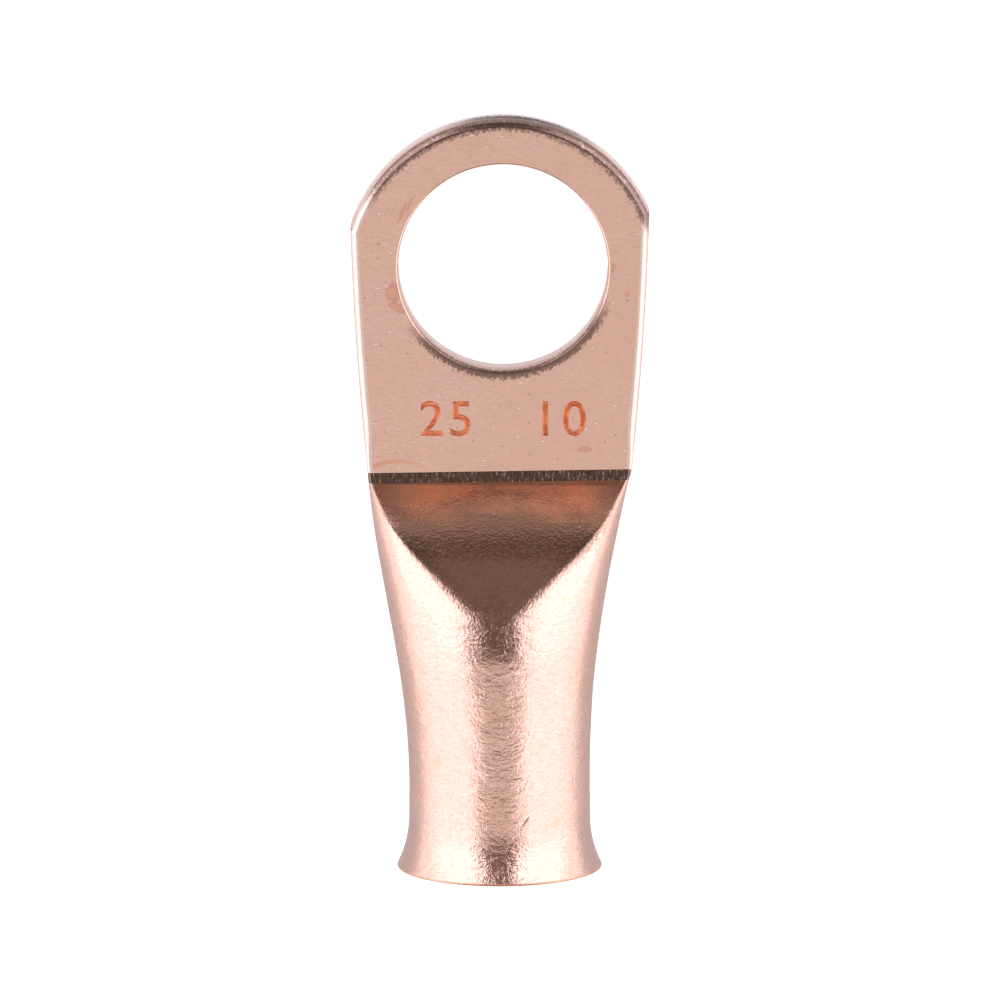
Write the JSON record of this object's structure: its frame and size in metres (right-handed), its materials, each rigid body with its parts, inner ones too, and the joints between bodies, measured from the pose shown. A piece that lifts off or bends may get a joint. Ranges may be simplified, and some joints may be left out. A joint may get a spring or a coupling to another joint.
{
  "type": "cable lug",
  "caption": "Pressed tube cable lug: flat round-ended palm with a stud hole, sloping neck and a round barrel with a bell mouth.",
  "frame": {"origin": "centre of the stud hole, on the back face of the palm", "axes": "+Z out of the front of the palm along the stud, +Y towards the palm's round end, the barrel runs towards -Y"},
  "size_m": [0.0147, 0.037, 0.0102],
  "materials": {
    "copper": "bare drawn copper, satin, slightly rippled on the barrel"
  },
  "bodies": {
    "root": {"lug": "copper"}
  },
  "joints": []
}
